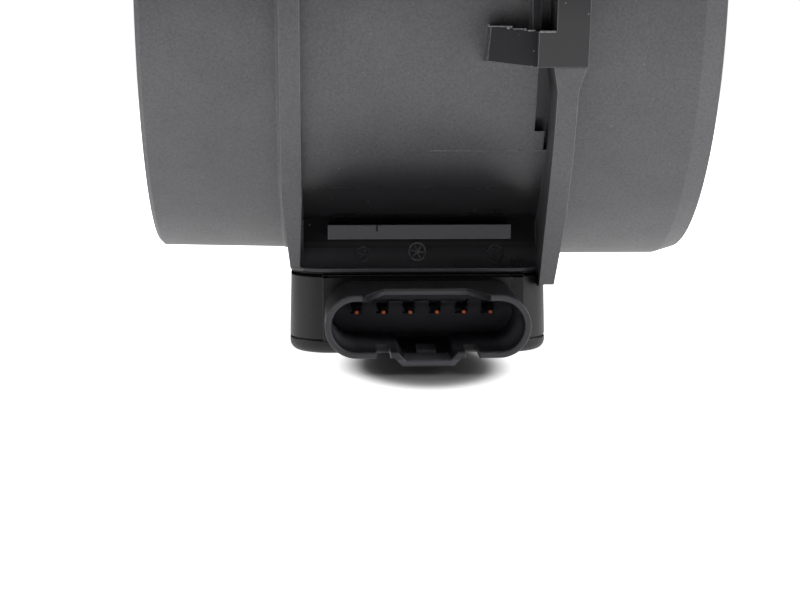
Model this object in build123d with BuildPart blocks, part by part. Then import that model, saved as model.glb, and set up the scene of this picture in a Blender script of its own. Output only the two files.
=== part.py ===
from build123d import *
import math
import os

# Hot-film mass airflow sensor.  A moulded duct carries a flat sensor module on
# its side; a flow channel reaches from the module into the middle of the bore.
#
# Frame: X runs along the duct, with the inlet at +X and the outlet at -X.
# Z is up.  The connector faces -Y.  The sensor lies on its module cover, and
# the origin is on that resting face, under the middle of the duct.
# All sizes are millimetres.

# ---------------------------------------------------------------- duct sizes
duct_length = 78.2
bore_dia = 81.0

outlet_length = 18.9
outlet_dia = 87.0
outlet_draft = 1.2

ring_width = 2.8
ring_dia = 93.0
ring_blend = 0.6

barrel_length = 33.7
barrel_dia = 88.0

flange_width = 2.8
flange_dia = 100.0
flange_overhang = 1.7
flange_foot_taper = 0.65
ring_foot_taper = 0.4
plate_corner = 1.0
plate_shoulder = 10.0

inlet_dia = 90.0
lead_in_length = 3.0
lead_in_drop = 0.9
rim_chamfer = 0.6

# ------------------------------------------------------- sensor module sizes
module_offset = -0.25
housing_width = 37.0
housing_depth = 55.0
housing_height = 9.4
housing_corner = 6.0
housing_wall = 2.2
housing_draft = 1.0
roof_thickness = 2.2
connector_wall = 4.6
seam_chamfer = 0.2

cover_thickness = 2.0
cover_edge = 1.3
plug_height = 1.2
plug_wall = 1.4
gasket_width = 1.2
gasket_height = 1.0

barrel_clearance = 1.4

# ------------------------------------------------------------ pedestal sizes
wall_setback = 5.2
foot_thickness = 0.8
skirt_radius = 3.6
rib_width = 26.0
rib_thickness = 2.0
rib_depth = 4.7
rib_rise = 5.0

# ------------------------------------------------------- spring clip lugs
lug_front = 48.2
lug_radius = 51.0
lug_inner = 10.7
lug_outer = 16.1
lug_slant = 0.8
tip_slant = 0.45
arm_length = 6.5
bridge_length = 6.6
pad_overhang = 0.9
collar_room = 1.5
pad_width = 4.3
neck_length = 3.1
web_width = 1.15
web_front = 46.5
web_gap = 1.65
pocket_width = 1.9
pocket_depth = 1.6
pocket_length = 8.7
step_width = 0.5
step_length = 2.6

# ----------------------------------------------------------- connector sizes
connector_shift = 0.25
connector_rise = 4.55
shroud_width = 27.5
shroud_height = 8.5
shroud_wall = 0.85
shroud_length = 18.5
rim_round = 0.2
front_pad_width = 28.6
front_pad_shift = 0.55
front_pad_depth = 0.6
notch_depth = 7.0
notch_rim_width = 16.4
notch_root_width = 11.3
latch_floor_width = 6.8
latch_slope = 1.9
latch_drop = 1.1
latch_slot_width = 1.85
latch_slot_overlap = 0.3
latch_slot_length = 7.0
latch_tab_width = 2.7
latch_tab_height = 0.9
latch_tab_length = 3.0
latch_tab_setback = 6.0
key_ledge_width = 13.4
key_ledge_height = 0.5
key_ledge_depth = 0.6

terminal_count = 6
terminal_pitch = 3.72
terminal_width = 1.2
terminal_thickness = 0.64
terminal_reach = 6.0
terminal_tail = 4.2
terminal_drop = 0.35
tip_length = 1.6
tip_width = 0.6
tip_thickness = 0.4
terminal_fit = 0.03
well_width = 1.65
well_height = 1.9
well_depth = 1.2

# ---------------------------------------------------------- flow parts sizes
grille_thickness = 8.0
grille_rim = 1.7
cell_pitch = 8.2
cell_web = 0.8
grille_seat = 1.7
grille_fit = 0.15
snap_thickness = 1.0
snap_width = 1.9
snap_gap = 12.0
snap_groove = 0.7
inlet_recess = 5.8

probe_width = 24.0
probe_body_thickness = 4.75
probe_cover_thickness = 3.75
probe_rise = 10.0
probe_corner = 3.0
probe_foot_margin = 2.0
probe_foot_thickness = 2.0
probe_fit = 0.2
seal_thickness = 1.0
seal_width = 1.6

channel_width = 4.5
channel_depth = 3.1
channel_radius = 4.5
channel_rise = 4.0
channel_turn = 5.0
channel_return = 3.9
channel_leg = 7.5
window_length = 5.0
cover_channel_depth = 2.2

carrier_width = 10.0
carrier_thickness = 0.8
carrier_fit = 0.1
chip_width = 3.4
chip_height = 2.8
chip_thickness = 0.4
chip_gap = 0.6

bead_radius = 1.3
bead_standoff = 3.2
lead_dia = 0.5
lead_spacing = 1.8
lead_depth = 1.5
lead_fit = 0.05
bead_offset = 7.0
bead_drop = 12.5

# ---------------------------------------------------------- electronics sizes
plate_clearance = 1.3
plate_thickness = 1.2
board_margin = 1.5
board_thickness = 1.0
processor_size = 7.0
processor_height = 1.1
transistor_width = 6.2
transistor_depth = 5.4
transistor_height = 1.6
capacitor_count = 3
capacitor_length = 3.2
capacitor_width = 1.6
capacitor_height = 1.5
capacitor_pitch = 3.4
ribbon_width = 0.8
ribbon_thickness = 0.2
ribbon_landing = 1.4
ribbon_sag = 0.9

screw_inset_x = 4.5
screw_inset_y = 8.0
screw_dia = 2.3
screw_length = 7.0
screw_head_dia = 4.4
screw_head_height = 1.6
screw_socket = 1.8
screw_socket_depth = 0.9
screw_fit = 0.1

# ------------------------------------------------------------ derived values
bore_radius = bore_dia / 2
outlet_radius = outlet_dia / 2
ring_radius = ring_dia / 2
barrel_radius = barrel_dia / 2
flange_radius = flange_dia / 2
inlet_radius = inlet_dia / 2
outlet_root_radius = outlet_radius + outlet_length * math.tan(math.radians(outlet_draft))

outlet_end = -duct_length / 2
inlet_end = duct_length / 2
ring_back = outlet_end + outlet_length
ring_front = ring_back + ring_width
flange_back = ring_front + barrel_length
flange_front = flange_back + flange_width
module_shift = (ring_back + flange_front) / 2 + module_offset

seam_height = cover_thickness + housing_height
roof_height = seam_height - roof_thickness
foot_height = seam_height + foot_thickness
flange_foot = seam_height - flange_overhang
axis_height = seam_height + barrel_clearance + barrel_radius

draft_inset = housing_height * math.tan(math.radians(housing_draft))
foot_width = housing_width - 2 * draft_inset
foot_depth = housing_depth - 2 * draft_inset
foot_corner = housing_corner - draft_inset
wall_half_depth = foot_depth / 2 - wall_setback

connector_x = module_shift + connector_shift
connector_height = cover_thickness + connector_rise
pad_face = housing_depth / 2 + front_pad_depth
rim_face = pad_face + shroud_length - front_pad_depth
terminal_height = connector_height + terminal_drop

cavity_front = pad_face - connector_wall
cavity_back = housing_depth / 2 - housing_wall
cavity_width = housing_width - 2 * housing_wall
cavity_depth = cavity_front + cavity_back
cavity_middle = (cavity_back - cavity_front) / 2
cavity_corner = housing_corner - housing_wall
screw_spacing_x = housing_width - 2 * screw_inset_x
screw_spacing_y = housing_depth - 2 * screw_inset_y
plate_width = cavity_width - 2 * plate_clearance
plate_depth = screw_spacing_y - screw_head_dia - 2 * plate_clearance
board_width = plate_width - 2 * board_margin
board_depth = plate_depth - 2 * board_margin

probe_thickness = probe_body_thickness + probe_cover_thickness
probe_parting = probe_body_thickness - probe_thickness / 2
probe_foot_width = probe_width + 2 * probe_foot_margin
probe_foot_depth = probe_thickness + 2 * probe_foot_margin
probe_foot_top = seam_height + probe_foot_thickness
seal_top = probe_foot_top + seal_thickness
probe_top = axis_height + probe_rise
bead_height = axis_height - bead_drop

channel_top = axis_height + channel_rise
channel_low = channel_top - 2 * channel_radius
channel_end = channel_low - channel_radius - channel_leg
carrier_top = channel_low + channel_width / 2 + chip_gap
carrier_middle = probe_parting - (carrier_thickness + carrier_fit) / 2
carrier_face = carrier_middle + carrier_thickness / 2
board_face = roof_height - plate_thickness - board_thickness
plate_face = roof_height - plate_thickness

grille_front = inlet_end - inlet_recess - snap_thickness
grille_back = grille_front - grille_thickness
grille_radius = bore_radius + grille_seat

duct_section = Plane(origin=(0, 0, axis_height), x_dir=(1, 0, 0), z_dir=(0, -1, 0))
duct_axis = Axis((0, 0, axis_height), (1, 0, 0))


def module_plane(height):
    """Horizontal plane through the middle of the sensor module."""
    return Plane(origin=(module_shift, 0, height), x_dir=(1, 0, 0), z_dir=(0, 0, 1))


def duct_plane(x):
    """Plane across the duct, centred on its axis and facing the inlet."""
    return Plane(origin=(x, 0, axis_height), x_dir=(0, 1, 0), z_dir=(1, 0, 0))


def front_plane(y, x=module_shift, z=axis_height):
    """Upright plane that faces the connector side, X to the right and Z up."""
    return Plane(origin=(x, y, z), x_dir=(1, 0, 0), z_dir=(0, -1, 0))


def round_edges(part, radius):
    """Full circles of one radius about the duct axis."""
    rings = part.edges().filter_by(GeomType.CIRCLE)
    return rings.filter_by(lambda edge: abs(edge.radius - radius) < 0.01)


def standing_plate(back, width, radius, foot, back_taper, front_taper):
    """Disc whose lower edge runs straight down to two corners beside the module."""
    corner_y = foot_depth / 2 - plate_corner
    corner_z = foot - axis_height + plate_corner
    with BuildPart() as plate:
        with BuildSketch(duct_plane(back)):
            Circle(radius)
            with Locations((-corner_y, corner_z), (corner_y, corner_z)):
                Circle(plate_corner)
            make_hull()
        extrude(amount=width)
        # The foot is cut flat, and the plate narrows towards it.
        with BuildSketch(Plane(origin=(back, 0, foot), x_dir=(1, 0, 0), z_dir=(0, -1, 0))):
            with BuildLine():
                Polyline(
                    (back_taper, 0),
                    (width - front_taper, 0),
                    (width, plate_shoulder),
                    (width, axis_height + radius),
                    (0, axis_height + radius),
                    (0, plate_shoulder),
                    close=True,
                )
            make_face()
        extrude(amount=radius, both=True, mode=Mode.INTERSECT)
    return plate.part


# ------------------------------------------------------------------ pedestal
# The duct's foot: a thin flange the size of the module, with concave skirts
# that sweep up into two upright walls.
with BuildPart() as pedestal:
    section = Plane(origin=(ring_back, 0, seam_height), x_dir=(0, 1, 0), z_dir=(1, 0, 0))
    with BuildSketch(section):
        with BuildLine():
            skirt_start = (wall_half_depth + skirt_radius, foot_thickness)
            skirt_end = (wall_half_depth, foot_thickness + skirt_radius)
            Line((0, 0), (foot_depth / 2, 0))
            Line((foot_depth / 2, 0), (foot_depth / 2, foot_thickness))
            Line((foot_depth / 2, foot_thickness), skirt_start)
            RadiusArc(skirt_start, skirt_end, skirt_radius)
            Line(skirt_end, (wall_half_depth, barrel_radius / 2))
            Line((wall_half_depth, barrel_radius / 2), (0, barrel_radius / 2))
            Line((0, barrel_radius / 2), (0, 0))
        make_face()
        mirror(about=Plane.YZ)
    extrude(amount=flange_front - ring_back)
    with BuildSketch(module_plane(seam_height)):
        RectangleRounded(foot_width, foot_depth, foot_corner)
    extrude(amount=barrel_radius, mode=Mode.INTERSECT)
    chamfer(pedestal.edges().group_by(Axis.Z)[0], seam_chamfer)

# --------------------------------------------------------------- spring lugs
# A lug holds a wire spring clip.  It has two arms, one above the other, and a
# web between them.  Bridges join the arms to a thickened stretch of flange.
pad_right = flange_front + pad_overhang
pad_left = pad_right - pad_width
arm_root = pad_right - bridge_length
arm_tip = arm_root - arm_length
web_middle = pad_left - web_gap - web_width / 2
lug_root = math.sqrt(bore_radius**2 - lug_outer**2)

with BuildPart() as lug:
    with BuildSketch(front_plane(-lug_front, x=0)):
        with BuildLine():
            Polyline(
                (arm_tip, -lug_outer + lug_slant),
                (arm_tip + tip_slant, -lug_inner),
                (arm_root, -lug_inner - lug_slant),
                (arm_root, -lug_outer),
                close=True,
            )
        make_face()
        mirror(about=Plane.XZ)
    extrude(amount=lug_root - lug_front)
    with BuildSketch(front_plane(-lug_radius, x=0)):
        with BuildLine():
            Polyline(
                (arm_root, -lug_inner - lug_slant),
                (pad_left, -lug_inner - lug_slant),
                (pad_left, 0),
                (pad_right, 0),
                (pad_right, -lug_outer),
                (arm_root, -lug_outer),
                close=True,
            )
        make_face()
        mirror(about=Plane.XZ)
    extrude(amount=lug_root - lug_radius)
    with BuildSketch(front_plane(-web_front, x=web_middle)):
        Rectangle(web_width, 2 * (lug_inner + lug_slant))
    extrude(amount=lug_root - web_front)
    with BuildSketch(duct_plane(arm_tip)):
        Circle(lug_radius)
    extrude(amount=duct_length, mode=Mode.INTERSECT)
    # Ahead of the flange it stands clear of the collar that slides over the inlet.
    with BuildSketch(duct_plane(flange_front)):
        Circle(inlet_radius + collar_room)
    extrude(amount=pad_overhang, mode=Mode.SUBTRACT)

# The neck brings the pad's width down to the flange's, level with the flange.
with BuildPart() as neck:
    with BuildSketch(front_plane(-flange_radius, x=0)):
        with BuildLine():
            Polyline(
                (pad_left, 0),
                (pad_right, 0),
                (pad_right, -lug_outer),
                (flange_front, -lug_outer - neck_length),
                (flange_back, -lug_outer - neck_length),
                (pad_left, -lug_outer),
                close=True,
            )
        make_face()
        mirror(about=Plane.XZ)
    extrude(amount=lug_root - flange_radius)
    with BuildSketch(duct_plane(pad_left)):
        Circle(flange_radius)
    extrude(amount=duct_length, mode=Mode.INTERSECT)
    # Ahead of the flange it stands clear of the collar that slides over the inlet.
    with BuildSketch(duct_plane(flange_front)):
        Circle(inlet_radius + collar_room)
    extrude(amount=pad_overhang, mode=Mode.SUBTRACT)

# -------------------------------------------------------------- tube housing
with BuildPart() as tube_housing:
    with BuildSketch(duct_section):
        with BuildLine():
            Polyline(
                (outlet_end, 0),
                (outlet_end, outlet_radius - rim_chamfer),
                (outlet_end + rim_chamfer, outlet_radius),
                (ring_back, outlet_root_radius),
                (ring_back, barrel_radius),
                (flange_front, barrel_radius),
                (flange_front, inlet_radius),
                (inlet_end - lead_in_length, inlet_radius),
                (inlet_end, inlet_radius - lead_in_drop),
                (inlet_end, 0),
                close=True,
            )
        make_face()
    revolve(axis=duct_axis)
    add(pedestal.part)
    # Ring that stops the hose, down to the foot, and flange, down past it.
    foot_overhang = module_shift - foot_width / 2 - ring_back
    ring = standing_plate(
        ring_back, ring_width, ring_radius, foot_height, foot_overhang, ring_foot_taper
    )
    flange = standing_plate(
        flange_back, flange_width, flange_radius, flange_foot, 0, flange_foot_taper
    )
    add(ring)
    add(flange)
    fillet(round_edges(tube_housing, outlet_root_radius), ring_blend)
    # Pockets in the barrel behind the flange, in a wide and a narrow step.
    pocket_top = -lug_outer
    step_top = pocket_top - pocket_length
    for width, top, length in (
        (pocket_width, pocket_top, pocket_length),
        (step_width, step_top, step_length),
    ):
        with BuildSketch(duct_plane(flange_back - width)):
            Circle(flange_radius)
            Circle(barrel_radius - pocket_depth, mode=Mode.SUBTRACT)
            with Locations((0, top)):
                Rectangle(
                    flange_dia, length, align=(Align.CENTER, Align.MAX), mode=Mode.INTERSECT
                )
        extrude(amount=width, mode=Mode.SUBTRACT)
    # Spring clip lugs, one on each side.
    add(lug.part)
    add(mirror(lug.part, about=Plane.XZ, mode=Mode.PRIVATE))
    add(neck.part)
    add(mirror(neck.part, about=Plane.XZ, mode=Mode.PRIVATE))
    # Cross rib above the connector.
    with BuildSketch(front_plane(-wall_half_depth - rib_depth, z=seam_height + rib_rise)):
        Rectangle(rib_width, rib_thickness, align=(Align.CENTER, Align.MIN))
    extrude(amount=-rib_depth - wall_setback)
    # Bore, with the grille's seat and the groove of its snap ring.
    with BuildSketch(duct_section):
        with BuildLine():
            seat_radius = grille_radius + grille_fit
            groove_radius = seat_radius + snap_groove
            Polyline(
                (outlet_end, 0),
                (outlet_end, bore_radius),
                (grille_back, bore_radius),
                (grille_back, seat_radius),
                (grille_front, seat_radius),
                (grille_front, groove_radius),
                (grille_front + snap_thickness, groove_radius),
                (grille_front + snap_thickness, seat_radius),
                (inlet_end, seat_radius),
                (inlet_end, 0),
                close=True,
            )
        make_face()
    revolve(axis=duct_axis, mode=Mode.SUBTRACT)
    # Opening for the probe: a deep seat for its foot and seal, then the slot.
    with BuildSketch(module_plane(seam_height)):
        Rectangle(probe_foot_width + 2 * probe_fit, probe_foot_depth + 2 * probe_fit)
    extrude(amount=probe_foot_thickness + seal_thickness, mode=Mode.SUBTRACT)
    with BuildSketch(module_plane(seal_top)):
        Rectangle(probe_width + 2 * probe_fit, probe_thickness + 2 * probe_fit)
    extrude(amount=barrel_radius / 2, mode=Mode.SUBTRACT)
    # Pilot holes of the module screws.
    with BuildSketch(module_plane(seam_height)):
        with GridLocations(screw_spacing_x, screw_spacing_y, 2, 2):
            Circle(screw_dia / 2 + screw_fit)
    extrude(amount=screw_length - roof_thickness + screw_fit, mode=Mode.SUBTRACT)

tube_housing.part.label = "tube_housing"

# ------------------------------------------------------------ module housing
# A shallow tray that opens downwards, with the connector shroud moulded on.
inner_height = shroud_height - 2 * shroud_wall
latch_bottom = -shroud_height / 2 - latch_drop
latch_top = -inner_height / 2
latch_half = latch_floor_width / 2
slot_middle = latch_half + latch_slope + latch_slot_width / 2 - latch_slot_overlap

with BuildPart() as module_housing:
    with BuildSketch(module_plane(cover_thickness)):
        RectangleRounded(housing_width, housing_depth, housing_corner)
    extrude(amount=housing_height, taper=housing_draft)
    seams = module_housing.edges().group_by(Axis.Z)
    chamfer(seams[0] + seams[-1], seam_chamfer)
    # Raised pad on the front face, the root of the shroud.
    with BuildSketch(module_plane(cover_thickness)):
        with Locations((front_pad_shift, -pad_face)):
            Rectangle(front_pad_width, connector_wall, align=(Align.CENTER, Align.MIN))
    extrude(amount=housing_height)
    # Shroud and its latch channel.
    with BuildSketch(front_plane(-pad_face, connector_x, connector_height)):
        SlotOverall(shroud_width, shroud_height)
        with BuildLine():
            Polyline(
                (-latch_half, latch_bottom),
                (latch_half, latch_bottom),
                (latch_half + latch_slope, latch_top),
                (-latch_half - latch_slope, latch_top),
                close=True,
            )
        make_face()
    extrude(amount=rim_face - pad_face)
    # Cavity for the electronics.
    with BuildSketch(module_plane(cover_thickness)):
        with Locations((0, cavity_middle)):
            RectangleRounded(cavity_width, cavity_depth, cavity_corner)
    extrude(amount=roof_height - cover_thickness, mode=Mode.SUBTRACT)
    # Inside of the shroud and of the latch channel.
    with BuildSketch(front_plane(-rim_face, connector_x, connector_height)):
        SlotOverall(shroud_width - 2 * shroud_wall, inner_height)
        with BuildLine():
            Polyline(
                (-latch_half + shroud_wall / 2, latch_bottom + shroud_wall),
                (latch_half - shroud_wall / 2, latch_bottom + shroud_wall),
                (latch_half + latch_slope - shroud_wall, latch_top + shroud_wall / 2),
                (-latch_half - latch_slope + shroud_wall, latch_top + shroud_wall / 2),
                close=True,
            )
        make_face()
    extrude(amount=pad_face - rim_face, mode=Mode.SUBTRACT)
    # Tapered notch in the shroud's top wall.
    with BuildSketch(Plane(origin=(connector_x, 0, connector_height), z_dir=(0, 0, 1))):
        with BuildLine():
            Polyline(
                (-notch_rim_width / 2, -rim_face),
                (notch_rim_width / 2, -rim_face),
                (notch_root_width / 2, -rim_face + notch_depth),
                (-notch_root_width / 2, -rim_face + notch_depth),
                close=True,
            )
        make_face()
    extrude(amount=shroud_height, mode=Mode.SUBTRACT)
    # Slots on both sides of the latch channel.
    with BuildSketch(Plane(origin=(connector_x, -rim_face, connector_height), z_dir=(0, 0, 1))):
        with Locations((-slot_middle, 0), (slot_middle, 0)):
            Rectangle(
                latch_slot_width, latch_slot_length, align=(Align.CENTER, Align.MIN)
            )
    extrude(amount=-shroud_height, mode=Mode.SUBTRACT)
    fillet(module_housing.faces().group_by(Axis.Y)[0].edges(), rim_round)
    # Wedge that locks the plug, on the floor of the latch channel.
    wedge_base = connector_height + latch_bottom + shroud_wall
    wedge_start = -rim_face + latch_tab_setback
    with BuildSketch(Plane.YZ.offset(connector_x - latch_tab_width / 2)):
        with BuildLine():
            Polyline(
                (wedge_start, wedge_base),
                (wedge_start + latch_tab_length, wedge_base),
                (wedge_start + latch_tab_length, wedge_base + latch_tab_height),
                (wedge_start, wedge_base + latch_tab_height / 2),
                close=True,
            )
        make_face()
    extrude(amount=latch_tab_width)
    # Key ledge across the end wall, then a well around each terminal.
    with BuildSketch(front_plane(-pad_face, connector_x, connector_height)):
        with Locations((0, terminal_drop + well_height / 2)):
            Rectangle(key_ledge_width, key_ledge_height, align=(Align.CENTER, Align.MAX))
    extrude(amount=key_ledge_depth)
    with BuildSketch(front_plane(-pad_face - key_ledge_depth, connector_x, terminal_height)):
        with GridLocations(terminal_pitch, 0, terminal_count, 1):
            Rectangle(well_width, well_height)
    extrude(amount=-key_ledge_depth - well_depth, mode=Mode.SUBTRACT)
    # Shelf that carries the terminal tails inside.
    shelf_base = terminal_height + terminal_thickness / 2 + terminal_fit
    with BuildSketch(Plane(origin=(connector_x, -cavity_front, shelf_base), z_dir=(0, 0, 1))):
        Rectangle(
            terminal_count * terminal_pitch,
            terminal_tail,
            align=(Align.CENTER, Align.MIN),
        )
    extrude(amount=roof_height - shelf_base)
    # Passages for the terminals.
    with BuildSketch(front_plane(-pad_face, connector_x, terminal_height)):
        with GridLocations(terminal_pitch, 0, terminal_count, 1):
            Rectangle(terminal_width + 2 * terminal_fit, terminal_thickness + 2 * terminal_fit)
    extrude(amount=-connector_wall - terminal_fit, mode=Mode.SUBTRACT)
    # Slot for the sensor carrier and holes for the screws.
    with BuildSketch(module_plane(roof_height)):
        with Locations((0, carrier_middle)):
            Rectangle(carrier_width + 2 * carrier_fit, carrier_thickness + 2 * carrier_fit)
        with GridLocations(screw_spacing_x, screw_spacing_y, 2, 2):
            Circle(screw_dia / 2 + screw_fit)
    extrude(amount=roof_thickness, mode=Mode.SUBTRACT)
    # Rebate that lets the duct flange hang beside the tray.
    with BuildSketch(Plane.XY.offset(seam_height)):
        with Locations((flange_back - probe_fit, 0)):
            Rectangle(flange_width, flange_dia, align=(Align.MIN, Align.CENTER))
    extrude(amount=-flange_overhang - probe_fit, mode=Mode.SUBTRACT)

module_housing.part.label = "module_housing"

# -------------------------------------------------------------- module cover
plug_inset = gasket_width + probe_fit
with BuildPart() as module_cover:
    with BuildSketch(module_plane(0)):
        RectangleRounded(housing_width, housing_depth, housing_corner)
    extrude(amount=cover_thickness)
    fillet(module_cover.edges().group_by(Axis.Z)[0], cover_edge)
    chamfer(module_cover.edges().group_by(Axis.Z)[-1], seam_chamfer)
    with BuildSketch(module_plane(cover_thickness)):
        with Locations((0, cavity_middle)):
            RectangleRounded(
                cavity_width - 2 * plug_inset, cavity_depth - 2 * plug_inset, cavity_corner
            )
            RectangleRounded(
                cavity_width - 2 * plug_inset - 2 * plug_wall,
                cavity_depth - 2 * plug_inset - 2 * plug_wall,
                cavity_corner - plug_wall,
                mode=Mode.SUBTRACT,
            )
    extrude(amount=plug_height)

module_cover.part.label = "module_cover"

# -------------------------------------------------------------- cover gasket
with BuildPart() as cover_gasket:
    with BuildSketch(module_plane(cover_thickness)):
        with Locations((0, cavity_middle)):
            gasket_outer_width = cavity_width - probe_fit
            gasket_outer_depth = cavity_depth - probe_fit
            RectangleRounded(gasket_outer_width, gasket_outer_depth, cavity_corner)
            RectangleRounded(
                gasket_outer_width - 2 * gasket_width,
                gasket_outer_depth - 2 * gasket_width,
                cavity_corner,
                mode=Mode.SUBTRACT,
            )
    extrude(amount=gasket_height)

cover_gasket.part.label = "cover_gasket"

# ------------------------------------------------------------- module screws
screw_head_face = roof_height - screw_head_height
with BuildPart() as module_screws:
    with BuildSketch(module_plane(roof_height)):
        with GridLocations(screw_spacing_x, screw_spacing_y, 2, 2):
            Circle(screw_dia / 2)
    extrude(amount=screw_length)
    with BuildSketch(module_plane(screw_head_face)):
        with GridLocations(screw_spacing_x, screw_spacing_y, 2, 2):
            Circle(screw_head_dia / 2)
    extrude(amount=screw_head_height)
    with BuildSketch(module_plane(screw_head_face)):
        with GridLocations(screw_spacing_x, screw_spacing_y, 2, 2):
            RegularPolygon(screw_socket / 2, 6)
    extrude(amount=screw_socket_depth, mode=Mode.SUBTRACT)

module_screws.part.label = "module_screws"

# ---------------------------------------------------------------- probe seal
with BuildPart() as probe_seal:
    with BuildSketch(module_plane(probe_foot_top)):
        Rectangle(probe_width + 2 * seal_width, probe_thickness + 2 * seal_width)
        Rectangle(
            probe_width + 2 * probe_fit, probe_thickness + 2 * probe_fit, mode=Mode.SUBTRACT
        )
    extrude(amount=seal_thickness)

probe_seal.part.label = "probe_seal"


def probe_plane(y):
    """Upright plane through the probe, X along the duct, facing +Y."""
    return Plane(origin=(module_shift, y, 0), x_dir=(1, 0, 0), z_dir=(0, -1, 0))


# ---------------------------------------------------------- measuring channel
# One outline shared by both probe halves.  Air enters on the inlet side, turns
# back past the sensor chip and leaves through a window in the probe's side.
window_x = channel_return + channel_radius
with BuildSketch(probe_plane(probe_parting)) as channel:
    with BuildLine(mode=Mode.PRIVATE):
        entry_end = Vector(-channel_turn, channel_top)
        turn = JernArc(entry_end, (-1, 0), channel_radius, 180)
        bend = JernArc((channel_return, channel_low), (1, 0), channel_radius, -90)
    entry_length = probe_width + channel_turn
    with Locations(entry_end):
        Rectangle(entry_length, channel_width, align=(Align.MIN, Align.CENTER))
    SlotArc(turn, channel_width)
    with Locations(turn @ 1):
        Rectangle(
            channel_turn + channel_return, channel_width, align=(Align.MIN, Align.CENTER)
        )
    SlotArc(bend, channel_width)
    with Locations(bend @ 1):
        Rectangle(channel_width, channel_leg, align=(Align.CENTER, Align.MAX))

# --------------------------------------------------------------- bypass body
# The probe's half that carries the foot.
with BuildPart() as bypass_body:
    with BuildSketch(module_plane(seam_height)):
        Rectangle(probe_foot_width, probe_foot_depth)
    extrude(amount=probe_foot_thickness)
    with BuildSketch(probe_plane(probe_parting)):
        with Locations((0, probe_foot_top)):
            Rectangle(
                probe_width, probe_top - probe_foot_top, align=(Align.CENTER, Align.MIN)
            )
    extrude(amount=probe_body_thickness)
    top_corners = bypass_body.edges().filter_by(Axis.Y).group_by(Axis.Z)[-1]
    fillet(top_corners, probe_corner)
    extrude(channel.sketch, amount=channel_depth, mode=Mode.SUBTRACT)
    # Pocket that holds the sensor carrier.
    with BuildSketch(probe_plane(probe_parting)):
        with Locations((0, seam_height)):
            Rectangle(
                carrier_width + 2 * carrier_fit,
                carrier_top + carrier_fit - seam_height,
                align=(Align.CENTER, Align.MIN),
            )
    extrude(amount=carrier_thickness + carrier_fit, mode=Mode.SUBTRACT)
    # Outlet window of the channel, and seats for the air thermistor's leads.
    with BuildSketch(probe_plane(probe_parting)):
        with Locations((window_x, channel_end)):
            Rectangle(channel_width, window_length, align=(Align.CENTER, Align.MIN))
    extrude(amount=probe_body_thickness, mode=Mode.SUBTRACT)
    with BuildSketch(probe_plane(-probe_thickness / 2 + lead_depth)):
        with Locations((-bead_offset, bead_height)):
            with GridLocations(lead_spacing, 0, 2, 1):
                Circle(lead_dia / 2 + lead_fit)
    extrude(amount=lead_depth, mode=Mode.SUBTRACT)

bypass_body.part.label = "bypass_body"

# -------------------------------------------------------------- bypass cover
with BuildPart() as bypass_cover:
    with BuildSketch(probe_plane(probe_parting)):
        with Locations((0, probe_foot_top)):
            Rectangle(
                probe_width, probe_top - probe_foot_top, align=(Align.CENTER, Align.MIN)
            )
    extrude(amount=-probe_cover_thickness)
    top_corners = bypass_cover.edges().filter_by(Axis.Y).group_by(Axis.Z)[-1]
    fillet(top_corners, probe_corner)
    extrude(channel.sketch, amount=-cover_channel_depth, mode=Mode.SUBTRACT)

bypass_cover.part.label = "bypass_cover"

# -------------------------------------------------- sensor carrier and chip
with BuildPart() as sensor_carrier:
    with BuildSketch(probe_plane(carrier_face)):
        with Locations((0, board_face)):
            Rectangle(carrier_width, carrier_top - board_face, align=(Align.CENTER, Align.MIN))
    extrude(amount=carrier_thickness)

sensor_carrier.part.label = "sensor_carrier"

with BuildPart() as sensor_chip:
    with BuildSketch(probe_plane(carrier_face)):
        with Locations((0, channel_low)):
            Rectangle(chip_width, chip_height)
    extrude(amount=-chip_thickness)

sensor_chip.part.label = "sensor_chip"

# ---------------------------------------------------- air temperature sensor
# A glass bead on two wire leads, which stand in the side of the probe.
with BuildPart() as air_thermistor:
    with BuildSketch(probe_plane(-probe_thickness / 2 + lead_depth)):
        with Locations((-bead_offset, bead_height)):
            with GridLocations(lead_spacing, 0, 2, 1):
                Circle(lead_dia / 2)
    extrude(amount=lead_depth + bead_standoff)
    with Locations((module_shift - bead_offset, -probe_thickness / 2 - bead_standoff, bead_height)):
        Sphere(bead_radius)

air_thermistor.part.label = "air_thermistor"

# --------------------------------------------------------------- flow grille
# A honeycomb that straightens the air, with a plain rim.
row_count = math.ceil(2 * grille_radius / cell_pitch) + 2
whole_cell = (cell_pitch - cell_web) ** 2 * math.sqrt(3) / 2
with BuildSketch() as cells:
    with HexLocations(cell_pitch / 2, row_count, row_count):
        RegularPolygon((cell_pitch - cell_web) / 2, 6, major_radius=False)
    Circle(grille_radius - grille_rim, mode=Mode.INTERSECT)
open_cells = cells.faces().filter_by(lambda face: face.area > whole_cell / 2)

with BuildPart() as flow_grille:
    with BuildSketch(duct_plane(grille_back)):
        Circle(grille_radius)
        add(open_cells, mode=Mode.SUBTRACT)
    extrude(amount=grille_thickness)

flow_grille.part.label = "flow_grille"

# ----------------------------------------------------------- grille snap ring
with BuildPart() as snap_ring:
    snap_radius = grille_radius + snap_groove
    with BuildSketch(duct_plane(grille_front)):
        Circle(snap_radius)
        Circle(snap_radius - snap_width, mode=Mode.SUBTRACT)
        with Locations((0, snap_radius)):
            Rectangle(snap_gap, snap_radius, mode=Mode.SUBTRACT)
    extrude(amount=snap_thickness)

snap_ring.part.label = "snap_ring"

# ---------------------------------------------------------------- electronics
with BuildPart() as base_plate:
    with BuildSketch(module_plane(plate_face)):
        Rectangle(plate_width, plate_depth)
        with Locations((0, carrier_middle)):
            Rectangle(
                carrier_width + 2 * carrier_fit,
                carrier_thickness + 2 * carrier_fit,
                mode=Mode.SUBTRACT,
            )
    extrude(amount=plate_thickness)

base_plate.part.label = "base_plate"

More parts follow.
